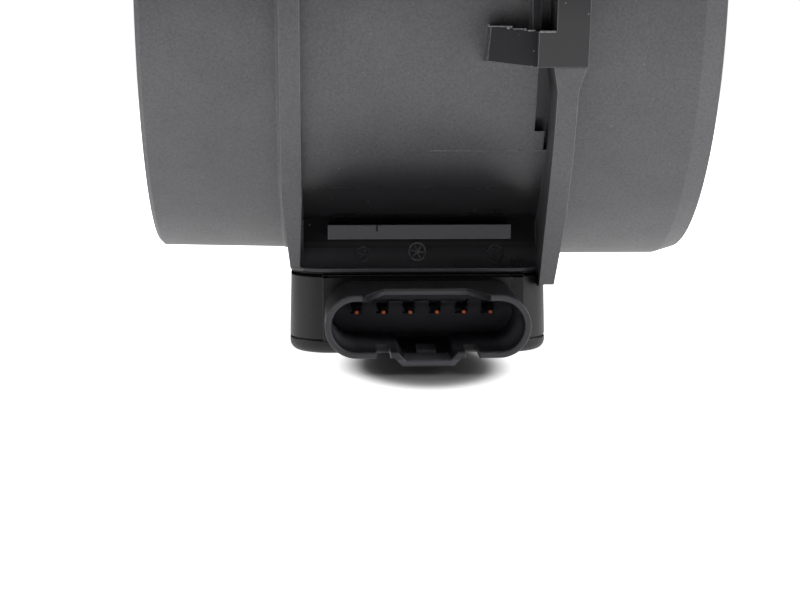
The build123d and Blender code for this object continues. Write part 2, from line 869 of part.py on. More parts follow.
with BuildPart() as circuit_board:
    with BuildSketch(module_plane(board_face)):
        Rectangle(board_width, board_depth)
        with Locations((0, carrier_middle)):
            Rectangle(
                carrier_width + 2 * carrier_fit,
                carrier_thickness + 2 * carrier_fit,
                mode=Mode.SUBTRACT,
            )
    extrude(amount=board_thickness)

circuit_board.part.label = "circuit_board"

with BuildPart() as signal_processor:
    with BuildSketch(module_plane(board_face)):
        with Locations((-board_width / 4, board_depth / 4)):
            Rectangle(processor_size, processor_size)
    extrude(amount=-processor_height)

signal_processor.part.label = "signal_processor"

with BuildPart() as power_transistor:
    with BuildSketch(module_plane(board_face)):
        with Locations((board_width / 4, board_depth / 4)):
            Rectangle(transistor_width, transistor_depth)
    extrude(amount=-transistor_height)

power_transistor.part.label = "power_transistor"

capacitors = []
for index in range(capacitor_count):
    with BuildPart() as capacitor:
        with BuildSketch(module_plane(board_face)):
            row_x = (index - (capacitor_count - 1) / 2) * capacitor_pitch
            with Locations((row_x, -board_depth / 4)):
                Rectangle(capacitor_width, capacitor_length)
        extrude(amount=-capacitor_height)
    capacitor.part.label = f"capacitor_{index + 1}"
    capacitors.append(capacitor)

# ---------------------------------------------- terminals and bond ribbons
terminals = []
ribbons = []
tail_face = terminal_height - terminal_thickness / 2 - ribbon_thickness / 2
pad_height = board_face - ribbon_thickness / 2
tail_end = -cavity_front + terminal_tail
board_edge = -board_depth / 2
for index in range(terminal_count):
    terminal_x = connector_x + (index - (terminal_count - 1) / 2) * terminal_pitch
    tip_y = -pad_face - terminal_reach
    with BuildPart() as terminal:
        with BuildSketch(front_plane(tail_end, terminal_x, terminal_height)):
            Rectangle(terminal_width, terminal_thickness)
        extrude(amount=tail_end - tip_y - tip_length)
        with BuildSketch(front_plane(tip_y + tip_length, terminal_x, terminal_height)):
            Rectangle(terminal_width, terminal_thickness)
        with BuildSketch(front_plane(tip_y, terminal_x, terminal_height)):
            Rectangle(tip_width, tip_thickness)
        loft()
    terminal.part.label = f"terminal_{index + 1}"
    terminals.append(terminal)

    with BuildPart() as ribbon:
        with BuildSketch(Plane.YZ.offset(terminal_x - ribbon_width / 2)):
            with BuildLine() as ribbon_path:
                tail_start = (tail_end - ribbon_landing, tail_face)
                tail_stop = (tail_end, tail_face)
                pad_start = (board_edge, pad_height)
                pad_stop = (board_edge + ribbon_landing, pad_height)
                sag = ((tail_end + board_edge) / 2, tail_face - ribbon_sag)
                Line(tail_start, tail_stop)
                Spline(tail_stop, sag, pad_start, tangents=((1, 0), (1, 0)))
                Line(pad_start, pad_stop)
            trace(ribbon_path.edges(), ribbon_thickness)
        extrude(amount=ribbon_width)
    ribbon.part.label = f"bond_ribbon_{index + 1}"
    ribbons.append(ribbon)

# --------------------------------------------------------------------- files
pieces = [
    tube_housing,
    flow_grille,
    snap_ring,
    module_housing,
    module_cover,
    cover_gasket,
    module_screws,
    probe_seal,
    bypass_body,
    bypass_cover,
    sensor_carrier,
    sensor_chip,
    air_thermistor,
    base_plate,
    circuit_board,
    signal_processor,
    power_transistor,
    *capacitors,
    *terminals,
    *ribbons,
]

os.makedirs("parts", exist_ok=True)
for piece in pieces:
    export_step(piece.part, f"parts/{piece.part.label}.step")
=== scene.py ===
"""Studio scene of a mass airflow sensor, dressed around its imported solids.

The duct lies along X with its inlet at +X, the plug socket faces -Y, and the
sensor stands on its module cover at Z = 0.  Lengths are metres, except where a
docstring says millimetres.
"""

import logging
import math
from dataclasses import dataclass, field
from enum import Enum
from typing import Iterable, Sequence

import bmesh
import bpy
from mathutils import Matrix, Vector
from mathutils.bvhtree import BVHTree


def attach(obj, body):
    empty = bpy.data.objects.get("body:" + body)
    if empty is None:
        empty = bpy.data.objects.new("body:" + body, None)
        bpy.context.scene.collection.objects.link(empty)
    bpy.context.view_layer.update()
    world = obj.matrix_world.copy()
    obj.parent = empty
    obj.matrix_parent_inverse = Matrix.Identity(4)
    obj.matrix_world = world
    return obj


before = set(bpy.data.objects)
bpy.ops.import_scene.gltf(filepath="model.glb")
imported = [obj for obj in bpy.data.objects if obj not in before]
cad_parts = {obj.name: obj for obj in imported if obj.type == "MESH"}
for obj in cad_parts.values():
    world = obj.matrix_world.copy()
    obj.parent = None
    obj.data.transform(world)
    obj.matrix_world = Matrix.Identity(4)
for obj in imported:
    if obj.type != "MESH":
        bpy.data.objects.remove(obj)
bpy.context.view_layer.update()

log = logging.getLogger("sensor_scene")

MM = 0.001

Socket = bpy.types.NodeSocket
Colour = tuple[float, float, float, float]
Place = tuple[float, float, float]


class Slot(Enum):
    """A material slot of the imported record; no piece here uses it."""

    DUCT = "duct_plastic"


# --------------------------------------------------------------------- nodes
class Graph:
    """A thin, typed wrapper that adds and links the nodes of one node tree."""

    def __init__(self, tree: bpy.types.NodeTree) -> None:
        """Wraps a node tree and clears it.

        Args:
            tree: The node tree to fill.
        """
        self.tree = tree
        tree.nodes.clear()

    def add(
        self, kind: str, values: dict[str | int, object] | None = None, **settings: object
    ) -> bpy.types.Node:
        """Adds a node, sets its properties and fills its input sockets.

        Args:
            kind: The node's bl_idname.
            values: Input socket names or indices, each with a value or a socket to link.
            **settings: Properties of the node itself.

        Returns:
            The new node.
        """
        node = self.tree.nodes.new(kind)
        for name, setting in settings.items():
            setattr(node, name, setting)
        for key, value in (values or {}).items():
            if isinstance(value, Socket):
                self.tree.links.new(value, node.inputs[key])
            else:
                node.inputs[key].default_value = value
        return node

    def math(self, operation: str, first: object, second: object = 0.0, clamp: bool = False) -> Socket:
        """Adds a Math node and returns its output.

        Args:
            operation: The Math node's operation.
            first: Value or socket of the first input.
            second: Value or socket of the second input.
            clamp: Whether the result is clamped to 0..1.

        Returns:
            The node's value socket.
        """
        node = self.add("ShaderNodeMath", {0: first, 1: second}, operation=operation, use_clamp=clamp)
        return node.outputs[0]

    def within(self, value: object, low: float, high: float) -> Socket:
        """Tests whether a value lies between two limits.

        Args:
            value: The socket to test.
            low: Lower limit.
            high: Upper limit.

        Returns:
            A socket that is 1 between the limits and 0 beyond them.
        """
        limits = {0: value, 1: (low + high) / 2, 2: (high - low) / 2}
        return self.add("ShaderNodeMath", limits, operation="COMPARE").outputs[0]

    def ramp(self, value: object, low: float, high: float, start: float = 0.0, end: float = 1.0) -> Socket:
        """Maps a value from low..high to start..end, clamped and smooth.

        Args:
            value: The socket to map.
            low: Input that gives start.
            high: Input that gives end.
            start: Output at low.
            end: Output at high.

        Returns:
            The mapped value's socket.
        """
        node = self.add(
            "ShaderNodeMapRange",
            {"Value": value, "From Min": low, "From Max": high, "To Min": start, "To Max": end},
            interpolation_type="SMOOTHSTEP",
        )
        return node.outputs["Result"]

    def mix_value(self, factor: object, first: object, second: object) -> Socket:
        """Mixes two plain values.

        Args:
            factor: Share of the second value.
            first: The value at factor 0.
            second: The value at factor 1.

        Returns:
            The mixed value's socket.
        """
        node = self.add("ShaderNodeMix", {0: factor, 2: first, 3: second}, data_type="FLOAT")
        return node.outputs[0]

    def mix_colour(self, factor: object, first: object, second: object) -> Socket:
        """Mixes two colours.

        Args:
            factor: Share of the second colour.
            first: The colour at factor 0.
            second: The colour at factor 1.

        Returns:
            The mixed colour's socket.
        """
        node = self.add("ShaderNodeMix", {0: factor, 6: first, 7: second}, data_type="RGBA")
        return node.outputs[2]

    def link(self, start: Socket, end: Socket) -> None:
        """Links an output socket to an input socket."""
        self.tree.links.new(start, end)


def make_group(
    name: str, inputs: dict[str, tuple[str, object]], outputs: dict[str, str]
) -> tuple[bpy.types.NodeTree, Graph, bpy.types.Node, bpy.types.Node]:
    """Creates an empty shader node group with named sockets.

    Args:
        name: The group's name.
        inputs: Socket name to its socket type and default value.
        outputs: Socket name to its socket type.

    Returns:
        The tree, its graph, the input node and the output node.
    """
    tree = bpy.data.node_groups.new(name, "ShaderNodeTree")
    for label, (kind, default) in inputs.items():
        socket = tree.interface.new_socket(name=label, in_out="INPUT", socket_type=kind)
        if default is not None:
            socket.default_value = default
    for label, kind in outputs.items():
        tree.interface.new_socket(name=label, in_out="OUTPUT", socket_type=kind)
    graph = Graph(tree)
    return tree, graph, graph.add("NodeGroupInput"), graph.add("NodeGroupOutput")


CLOUDS_PER_MM = 0.12
NOISE_MIDDLE = 0.5
CELL_DEPTH = 0.5
PIT_TONE = 0.6


def build_grain_group() -> bpy.types.NodeTree:
    """Builds the spark-eroded grain of a moulded face.

    Returns:
        A group that turns a position into a bump height and a tone.
    """
    tree, graph, source, sink = make_group(
        "mould_grain",
        {
            "Vector": ("NodeSocketVector", None),
            "Pits per mm": ("NodeSocketFloat", 3.0),
            "Cloudiness": ("NodeSocketFloat", 0.3),
        },
        {"Height": "NodeSocketFloat", "Tone": "NodeSocketFloat"},
    )
    scale = graph.math("MULTIPLY", source.outputs["Pits per mm"], 1 / MM)
    fine = graph.add(
        "ShaderNodeTexNoise",
        {"Vector": source.outputs["Vector"], "Scale": scale, "Detail": 3.0, "Roughness": 0.6},
    )
    cell = graph.add(
        "ShaderNodeTexVoronoi",
        {"Vector": source.outputs["Vector"], "Scale": scale},
        feature="SMOOTH_F1",
    )
    slow = graph.add(
        "ShaderNodeTexNoise",
        {"Vector": source.outputs["Vector"], "Scale": CLOUDS_PER_MM / MM, "Detail": 4.0, "Roughness": 0.55},
    )
    hollow = graph.math("MULTIPLY", cell.outputs["Distance"], CELL_DEPTH)
    pits = graph.math("SUBTRACT", fine.outputs[0], hollow)
    swing = graph.math("SUBTRACT", slow.outputs[0], NOISE_MIDDLE)
    cloud = graph.math("MULTIPLY", swing, source.outputs["Cloudiness"])
    tone = graph.math("ADD", graph.math("MULTIPLY", pits, PIT_TONE), cloud)
    graph.link(pits, sink.inputs["Height"])
    graph.link(tone, sink.inputs["Tone"])
    return tree


SMALLEST_SPECK = 0.4


def build_dust_group() -> bpy.types.NodeTree:
    """Builds sparse pale dust specks.

    Returns:
        A group that turns a position into a mask of specks.
    """
    tree, graph, source, sink = make_group(
        "dust_specks",
        {
            "Vector": ("NodeSocketVector", None),
            "Spacing mm": ("NodeSocketFloat", 2.0),
            "Speck mm": ("NodeSocketFloat", 0.08),
            "Share": ("NodeSocketFloat", 0.5),
        },
        {"Mask": "NodeSocketFloat"},
    )
    scale = graph.math("DIVIDE", 1 / MM, source.outputs["Spacing mm"])
    cell = graph.add(
        "ShaderNodeTexVoronoi", {"Vector": source.outputs["Vector"], "Scale": scale}, feature="F1"
    )
    chance = graph.add("ShaderNodeSeparateColor", {"Color": cell.outputs["Color"]})
    radius = graph.math("DIVIDE", source.outputs["Speck mm"], source.outputs["Spacing mm"])
    grown = graph.math("MULTIPLY", radius, graph.math("ADD", chance.outputs[1], SMALLEST_SPECK))
    inside = graph.math("LESS_THAN", cell.outputs["Distance"], grown)
    kept = graph.math("LESS_THAN", chance.outputs[0], source.outputs["Share"])
    graph.link(graph.math("MULTIPLY", inside, kept), sink.inputs["Mask"])
    return tree


FLAT_SHARE, EDGE_SHARE = 0.99, 0.7


def build_edge_group() -> bpy.types.NodeTree:
    """Builds the softened, lightly rubbed edge that every moulded piece has, with a painted highlight along
    it.

    Returns:
        A group that gives a rounded normal, and a mask along the edges for their wear and painted
        highlight.
    """
    tree, graph, source, sink = make_group(
        "rubbed_edge_and_highlight",
        {"Radius": ("NodeSocketFloat", 0.18 * MM), "Contrast": ("NodeSocketFloat", 5.0)},
        {"Normal": "NodeSocketVector", "Mask": "NodeSocketFloat"},
    )
    bevel = graph.add("ShaderNodeBevel", {"Radius": source.outputs["Radius"]}, samples=6)
    geometry = graph.add("ShaderNodeNewGeometry")
    facing = graph.add(
        "ShaderNodeVectorMath",
        {0: bevel.outputs["Normal"], 1: geometry.outputs["Normal"]},
        operation="DOT_PRODUCT",
    )
    turned = graph.math("SUBTRACT", 1.0, facing.outputs["Value"])
    # Only outer edges are rubbed and get the painted highlight: there, short lines into the solid meet its
    # next face.
    thickness = graph.add(
        "ShaderNodeAmbientOcclusion", {"Distance": source.outputs["Radius"]}, samples=4, inside=True
    )
    outer = graph.ramp(thickness.outputs["AO"], FLAT_SHARE, EDGE_SHARE)
    sharp = graph.math("MULTIPLY", turned, source.outputs["Contrast"], clamp=True)
    mask = graph.math("MULTIPLY", sharp, outer)
    graph.link(bevel.outputs["Normal"], sink.inputs["Normal"])
    graph.link(mask, sink.inputs["Mask"])
    return tree


GRAIN = build_grain_group()
DUST = build_dust_group()
EDGE = build_edge_group()


# ------------------------------------------------------------------ finishes
def new_material(name: str) -> tuple[bpy.types.Material, Graph, bpy.types.Node]:
    """Creates a node material with a Principled shader.

    Args:
        name: The material's name.

    Returns:
        The material, its graph and the shader node.
    """
    material = bpy.data.materials.new(name)
    material.use_nodes = True
    graph = Graph(material.node_tree)
    output = graph.add("ShaderNodeOutputMaterial")
    shader = graph.add("ShaderNodeBsdfPrincipled")
    graph.link(shader.outputs[0], output.inputs[0])
    return material, graph, shader


def shaded(colour: Colour, factor: float, lift: float = 0.0) -> Colour:
    """Scales a colour and lifts it.

    Args:
        colour: The colour to change.
        factor: What its channels are multiplied by.
        lift: What is added to them.

    Returns:
        The new colour, opaque.
    """
    red, green, blue = (factor * channel + lift for channel in colour[:3])
    return red, green, blue, 1.0


@dataclass(frozen=True)
class Zone:
    """A box-shaped stretch of a piece whose colour is scaled as painted shade or painted light, with a
    finish of its own.

    Sizes are millimetres.  A later zone covers an earlier one.

    Attributes:
        low: Lowest X, |Y| and Z.
        high: Highest X, |Y| and Z.
        shade: Factor on the base colour inside; below 1 it is painted shade, above 1 painted light.
        polish: Taken off the roughness inside.
        dull: Taken off the specular level inside.
        fade: Distance below the top over which the zone comes in.
    """

    low: Place
    high: Place
    shade: float
    polish: float = 0.0
    dull: float = 0.0
    fade: float = 0.0

    def mask(self, graph: Graph, place: Socket) -> Socket:
        """Tests whether a position lies in the zone.

        Args:
            graph: The material's graph.
            place: The position.

        Returns:
            A socket that is 1 inside and 0 outside.
        """
        parts = graph.add("ShaderNodeSeparateXYZ", {"Vector": place})
        axes = (parts.outputs[0], graph.math("ABSOLUTE", parts.outputs[1]), parts.outputs[2])
        inside: object = 1.0
        for axis, low, high in zip(axes, self.low, self.high):
            inside = graph.math("MULTIPLY", inside, graph.within(axis, low * MM, high * MM))
        if self.fade:
            top = self.high[2] * MM
            inside = graph.math("MULTIPLY", inside, graph.ramp(axes[2], top, top - self.fade * MM))
        return inside


@dataclass(frozen=True)
class PillZone:
    """A stretch inside a pill-shaped outline in XZ, as deep as a range of Y.

    Sizes are millimetres.

    Attributes:
        middle: X and Z of the pill's middle.
        half_width: Half its overall width.
        radius: Radius of its round ends.
        depth: Lowest and highest Y.
        fade: Distance inward from the lowest Y over which the zone comes in.
        shade: Factor on the base colour inside; below 1 it is painted shade, above 1 painted light.
        polish: Taken off the roughness inside.
        dull: Taken off the specular level inside.
    """

    middle: tuple[float, float]
    half_width: float
    radius: float
    depth: tuple[float, float]
    fade: float
    shade: float
    polish: float = 0.0
    dull: float = 0.0

    def mask(self, graph: Graph, place: Socket) -> Socket:
        """Tests whether a position lies in the zone.

        Args:
            graph: The material's graph.
            place: The position.

        Returns:
            A socket that is 1 inside and 0 outside.
        """
        parts = graph.add("ShaderNodeSeparateXYZ", {"Vector": place})
        straight = (self.half_width - self.radius) * MM
        front, back = self.depth[0] * MM, self.depth[1] * MM
        along = graph.math("ABSOLUTE", graph.math("SUBTRACT", parts.outputs[0], self.middle[0] * MM))
        beyond = graph.math("MAXIMUM", graph.math("SUBTRACT", along, straight), 0.0)
        up = graph.math("SUBTRACT", parts.outputs[2], self.middle[1] * MM)
        square = graph.math("ADD", graph.math("MULTIPLY", beyond, beyond), graph.math("MULTIPLY", up, up))
        inside = graph.math("LESS_THAN", graph.math("SQRT", square), self.radius * MM)
        deep = graph.within(parts.outputs[1], front, back)
        come_in = graph.ramp(parts.outputs[1], front, front + self.fade * MM)
        return graph.math("MULTIPLY", graph.math("MULTIPLY", inside, deep), come_in)


Stretch = Zone | PillZone
Masks = Sequence[tuple[Stretch, Socket]]

TONE_SPAN = (-0.1, 0.5)
GLOSS_SPAN = (-0.2, 0.6)
ROUGHER, SMOOTHER = 0.08, 0.05
SPECK_GREY: Colour = (0.3, 0.3, 0.3, 1.0)


def grained_roughness(graph: Graph, tone: Socket, mean: float) -> Socket:
    """Varies a roughness with the grain's tone.

    Args:
        graph: The material's graph.
        tone: The grain's tone.
        mean: Mean roughness.

    Returns:
        The roughness, lower where the tone is pale.
    """
    return graph.ramp(tone, *GLOSS_SPAN, mean + ROUGHER, mean - SMOOTHER)


@dataclass(frozen=True)
class MouldedPlastic:
    """Charcoal glass-filled plastic with spark-eroded grain, dust, rubbed edges with a painted highlight,
    and zones of painted shade and light.

    Attributes:
        name: Name of the material.
        colour: Base colour, linear.
        roughness: Mean roughness.
        pits_per_mm: Fineness of the grain.
        grain_depth: Height of the grain in millimetres.
        dust_share: Share of cells that hold a pale speck.
        specular: Specular level outside the zones.
        zones: Stretches with painted shade or painted light, a finish of their own and no grain.
        outlet_end: X in millimetres up to which the grain is coarse, or None for even grain.
        coarseness: Factor on the grain's height there.
        shadow: Factor on the colour in the pits.
        rub_and_glint: Factor and lift that turn the colour into that of rubbed edges, pale from wear and as
            a painted highlight.
        rub_and_glint_share: How much of a rubbed edge, with its painted highlight, shows.
        dust_cover: How much of a speck shows.
    """

    name: str
    colour: Colour
    roughness: float
    pits_per_mm: float
    grain_depth: float
    dust_share: float
    specular: float = 0.5
    zones: tuple[Stretch, ...] = ()
    outlet_end: float | None = None
    coarseness: float = 1.8
    shadow: float = 0.55
    rub_and_glint: tuple[float, float] = (2.5, 0.1)
    rub_and_glint_share: float = 0.8
    dust_cover: float = 0.55

    def build(self) -> bpy.types.Material:
        """Builds the material.

        Returns:
            The finished material.
        """
        material, graph, shader = new_material(self.name)
        place = graph.add("ShaderNodeTexCoord").outputs["Object"]
        grain = graph.add("ShaderNodeGroup", {"Vector": place}, node_tree=GRAIN)
        grain.inputs["Pits per mm"].default_value = self.pits_per_mm
        dust = graph.add("ShaderNodeGroup", {"Vector": place}, node_tree=DUST)
        dust.inputs["Share"].default_value = self.dust_share
        edge = graph.add("ShaderNodeGroup", node_tree=EDGE)
        masks = [(zone, zone.mask(graph, place)) for zone in self.zones]

        self.link_colour(graph, shader, grain, dust, edge, masks)
        self.link_relief(graph, shader, grain, edge, masks, place)
        rough = grained_roughness(graph, grain.outputs["Tone"], self.roughness)
        specular = shader.inputs["Specular IOR Level"]
        specular.default_value = self.specular
        level: object = self.specular
        for zone, mask in masks:
            rough = graph.mix_value(mask, rough, self.roughness - zone.polish)
            level = graph.math("SUBTRACT", level, graph.math("MULTIPLY", mask, zone.dull), clamp=True)
        graph.link(rough, shader.inputs["Roughness"])
        if masks:
            graph.link(level, specular)
        return material

    def link_colour(
        self,
        graph: Graph,
        shader: bpy.types.Node,
        grain: bpy.types.Node,
        dust: bpy.types.Node,
        edge: bpy.types.Node,
        masks: Masks,
    ) -> None:
        """Lays grain, the zones' painted shade and light, rubbed edges with their painted highlight, and
        dust over the base colour.

        Args:
            graph: The material's graph.
            shader: The material's shader.
            grain: The grain's group node.
            dust: The dust's group node.
            edge: The edges' group node.
            masks: Each zone with its mask.
        """
        light = graph.ramp(grain.outputs["Tone"], *TONE_SPAN)
        toned = graph.mix_colour(light, shaded(self.colour, self.shadow), self.colour)
        # Each zone scales the colour: painted shade below 1, painted light above 1.
        for zone, mask in masks:
            toned = graph.mix_colour(mask, toned, shaded(self.colour, zone.shade))
        # Rubbed outer edges: wear and a painted highlight, paler than the plastic.
        worn_and_glint = graph.math("MULTIPLY", edge.outputs["Mask"], self.rub_and_glint_share)
        rubbed = graph.mix_colour(worn_and_glint, toned, shaded(self.colour, *self.rub_and_glint))
        settled = graph.math("MULTIPLY", dust.outputs["Mask"], self.dust_cover)
        graph.link(graph.mix_colour(settled, rubbed, SPECK_GREY), shader.inputs["Base Color"])

    def link_relief(
        self,
        graph: Graph,
        shader: bpy.types.Node,
        grain: bpy.types.Node,
        edge: bpy.types.Node,
        masks: Masks,
        place: Socket,
    ) -> None:
        """Raises the grain outside the zones and rounds the edges.

        Args:
            graph: The material's graph.
            shader: The material's shader.
            grain: The grain's group node.
            edge: The edges' group node.
            masks: Each zone with its mask.
            place: The position.
        """
        depth: object = 1.0
        if self.outlet_end is not None:
            along = graph.add("ShaderNodeSeparateXYZ", {"Vector": place}).outputs["X"]
            start = self.outlet_end * MM
            depth = graph.ramp(along, start, start + 0.5 * MM, self.coarseness, 1.0)
        for _, mask in masks:
            depth = graph.math("MULTIPLY", depth, graph.math("SUBTRACT", 1.0, mask))
        bump = graph.add(
            "ShaderNodeBump",
            {
                "Strength": 1.0,
                "Distance": self.grain_depth * MM,
                "Height": graph.math("MULTIPLY", grain.outputs["Height"], depth),
                "Normal": edge.outputs["Normal"],
            },
        )
        graph.link(bump.outputs["Normal"], shader.inputs["Normal"])


@dataclass(frozen=True)
class PlainSurface:
    """Metal, rubber, ceramic or resin with a little variation in tone.

    Attributes:
        name: Name of the material.
        colour: Base colour, linear.
        roughness: Mean roughness.
        variation: Size of the change in tone.
        metallic: 1 for bare metal.
        pits_per_mm: Fineness of the grain.
        grain_depth: Height of the grain in millimetres.
    """

    name: str
    colour: Colour
    roughness: float
    variation: float = 0.2
    metallic: float = 0.0
    pits_per_mm: float = 2.0
    grain_depth: float = 0.01

    def build(self) -> bpy.types.Material:
        """Builds the material.

        Returns:
            The finished material.
        """
        material, graph, shader = new_material(self.name)
        place = graph.add("ShaderNodeTexCoord").outputs["Object"]
        grain = graph.add("ShaderNodeGroup", {"Vector": place}, node_tree=GRAIN)
        grain.inputs["Pits per mm"].default_value = self.pits_per_mm
        edge = graph.add("ShaderNodeGroup", node_tree=EDGE)
        light = graph.ramp(grain.outputs["Tone"], *TONE_SPAN)
        toned = graph.mix_colour(light, shaded(self.colour, 1 - self.variation), self.colour)
        graph.link(toned, shader.inputs["Base Color"])
        rough = grained_roughness(graph, grain.outputs["Tone"], self.roughness)
        graph.link(rough, shader.inputs["Roughness"])
        bump = graph.add(
            "ShaderNodeBump",
            {
                "Strength": 0.4,
                "Distance": self.grain_depth * MM,
                "Height": grain.outputs["Height"],
                "Normal": edge.outputs["Normal"],
            },
        )
        graph.link(bump.outputs["Normal"], shader.inputs["Normal"])
        shader.inputs["Metallic"].default_value = self.metallic
        return material


@dataclass(frozen=True)
class TinnedBlade:
    """Tinned copper whose sheared front end shows a spot of bare copper; the tin's dark colour is painted
    shade, and the spot is sized as a painted glint.

    Attributes:
        name: Name of the material.
        tin: Colour of the tin, darkened as painted shade.
        copper: Colour of the bare end.
        end: Y in millimetres in front of which the end is bare.
        middle: X in millimetres of the middle of the row of blades.
        pitch: Distance in millimetres between the blades.
        spot: Half width of the bare spot, sized as a painted glint, as a share of the pitch.
        metal: Metallic of the tin and of the copper.
        rough: Roughness of the tin and of the copper.
    """

    name: str = "terminal_copper_tin"
    tin: Colour = (0.10, 0.10, 0.10, 1.0)
    copper: Colour = (0.95, 0.16, 0.04, 1.0)
    end: float = -33.9
    middle: float = -0.55
    pitch: float = 3.72
    spot: float = 0.053
    metal: tuple[float, float] = (1.0, 0.4)
    rough: tuple[float, float] = (0.5, 0.4)

    def build(self) -> bpy.types.Material:
        """Builds the material.

        Returns:
            The finished material.
        """
        material, graph, shader = new_material(self.name)
        place = graph.add("ShaderNodeTexCoord").outputs["Object"]
        parts = graph.add("ShaderNodeSeparateXYZ", {"Vector": place})
        offset = graph.math("SUBTRACT", parts.outputs[0], self.middle * MM)
        # Whole pitches are added, so that the count stays above zero along the row.
        steps = graph.math("ADD", graph.math("DIVIDE", offset, self.pitch * MM), 10.0)
        centred = graph.within(graph.math("FRACT", steps), 0.5 - self.spot, 0.5 + self.spot)
        # Bare copper at the sheared end, kept to a small middle spot as a painted glint.
        bare = graph.math("MULTIPLY", graph.math("LESS_THAN", parts.outputs[1], self.end * MM), centred)
        graph.link(graph.mix_colour(bare, self.tin, self.copper), shader.inputs["Base Color"])
        graph.link(graph.mix_value(bare, *self.metal), shader.inputs["Metallic"])
        graph.link(graph.mix_value(bare, *self.rough), shader.inputs["Roughness"])
        return material


Finish = MouldedPlastic | PlainSurface | TinnedBlade

# Stretches of the duct, nearly all painted shade.
# Clip arms and pads: their darker colour is painted shade for the dark surroundings their smooth faces
# mirror; the smoother, less glossy finish is their own.
CLIP_ARMS = Zone((6.8, 44.3, 0.0), (13.4, 60.0, 110.0), shade=0.34, polish=0.25, dull=0.5)
CLIP_PADS = Zone((13.4, 45.9, 40.6), (20.1, 60.0, 73.0), shade=0.265, polish=0.15, dull=0.5)
# Pocket beside the flange: painted shade in the recess.
POCKET_FLOOR = Zone((14.42, 20.0, 32.05), (16.25, 43.6, 40.7), shade=0.36, polish=0.1, dull=0.4)
# Pedestal, walls and skirt under the barrel: painted shade, coming in below the parting line; the rib's
# face is lighter, still in painted shade.
PEDESTAL = Zone((-17.3, 0.0, 11.7), (16.2, 50.0, 29.3), shade=0.275, polish=0.15, dull=0.5, fade=6.0)
WALLS = Zone((-17.3, 20.0, 15.5), (16.2, 23.0, 20.0), shade=0.23, polish=0.15, dull=0.6)
SKIRT = Zone((-17.3, 22.3, 11.8), (16.2, 30.0, 15.6), shade=0.83, polish=0.15, dull=0.2, fade=2.5)
RIB_FACE = Zone((-13.9, 26.5, 16.3), (12.3, 27.2, 18.5), shade=0.78, polish=0.1)
# Painted shade of a small nick in the rib's top, which has no shape of its own.
RIB_NICK = Zone((-6.95, 26.5, 17.5), (-6.72, 27.2, 18.5), shade=0.1, dull=0.6)
# Painted shade in the seam between the duct's foot and the tray.
DUCT_SEAM = Zone((-25.0, 0.0, 11.3), (16.0, 60.0, 11.75), shade=0.1, dull=0.9)

# Stretches of the module's tray and connector, with painted shade and painted light.
# Painted shade in the seam between the tray and the duct's foot.
MODULE_SEAM = Zone((-25.0, 0.0, 11.0), (25.0, 60.0, 11.5), shade=0.1, dull=0.5)
# Tray front at the shroud's root: painted shade under the rib and barrel.
SHROUD_ROOT = Zone((-13.9, 20.0, 9.5), (12.2, 30.0, 12.0), shade=0.5, polish=0.12)
# Inside the shroud: painted light, growing from the mouth inward.
SHROUD_INSIDE = PillZone((-0.55, 6.55), 13.4, 3.9, (-45.9, -20.0), fade=11.0, shade=7.5, dull=0.45)
# Shroud rim: painted highlight; across its top a band of painted shade with a bar of painted highlight.
SHROUD_RIM = Zone((-16.0, 45.7, 0.0), (15.0, 48.0, 12.0), shade=3.0)
RIM_TOP = Zone((-9.3, 45.7, 10.0), (7.8, 48.0, 12.0), shade=0.4, dull=0.2)
RIM_BAR = Zone((-6.4, 45.7, 11.38), (4.6, 48.0, 12.0), shade=3.3)
# Latch bar and wedge: painted light and painted reflection in the channel.
LATCH_BAR = Zone((-4.6, 39.5, 1.0), (3.5, 48.0, 2.15), shade=7.0)
LATCH_WEDGE = Zone((-2.0, 36.8, 1.9), (0.9, 40.3, 3.1), shade=7.0)

DUCT_FINISH = MouldedPlastic(
    "duct_moulded",
    (0.128, 0.123, 0.135, 1.0),
    roughness=0.42,
    pits_per_mm=3.2,
    grain_depth=0.018,
    dust_share=1.0,
    specular=1.0,
    zones=(CLIP_ARMS, CLIP_PADS, POCKET_FLOOR, PEDESTAL, WALLS, SKIRT, RIB_FACE, RIB_NICK, DUCT_SEAM),
    outlet_end=-20.2,
)
MODULE_FINISH = MouldedPlastic(
    "module_moulded",
    (0.021, 0.020, 0.023, 1.0),
    roughness=0.36,
    pits_per_mm=4.0,
    grain_depth=0.008,
    dust_share=0.25,
    zones=(
        MODULE_SEAM,
        SHROUD_ROOT,
        SHROUD_INSIDE,
        SHROUD_RIM,
        RIM_TOP,
        RIM_BAR,
        LATCH_BAR,
        LATCH_WEDGE,
    ),
)
COVER_FINISH = MouldedPlastic(
    "cover_moulded",
    (0.018, 0.018, 0.02, 1.0),
    roughness=0.45,
    pits_per_mm=4.0,
    grain_depth=0.01,
    dust_share=0.2,
)
PROBE_FINISH = MouldedPlastic(
    "probe_moulded",
    (0.03, 0.03, 0.032, 1.0),
    roughness=0.38,
    pits_per_mm=4.0,
    grain_depth=0.006,
    dust_share=0.1,
)
GRILLE_FINISH = MouldedPlastic(
    "grille_moulded",
    (0.05, 0.05, 0.053, 1.0),
    roughness=0.42,
    pits_per_mm=4.0,
    grain_depth=0.006,
    dust_share=0.1,
)
# Pale greys of the tool marks, parting line and witness lines: painted highlights on polished plastic.
MARK_FINISH = PlainSurface("mark_polished_glint", (0.30, 0.30, 0.31, 1.0), 0.3, 0.6)
FAINT_MARK_FINISH = PlainSurface("mark_faint_glint", (0.12, 0.12, 0.125, 1.0), 0.35, 0.6)
# Pale grey of the trimmed flash: partly its own scuffing, partly a painted highlight along the arms' top
# edges.
FLASH_FINISH = PlainSurface("flash_pale_highlight", (0.42, 0.42, 0.43, 1.0), 0.4, 0.7)

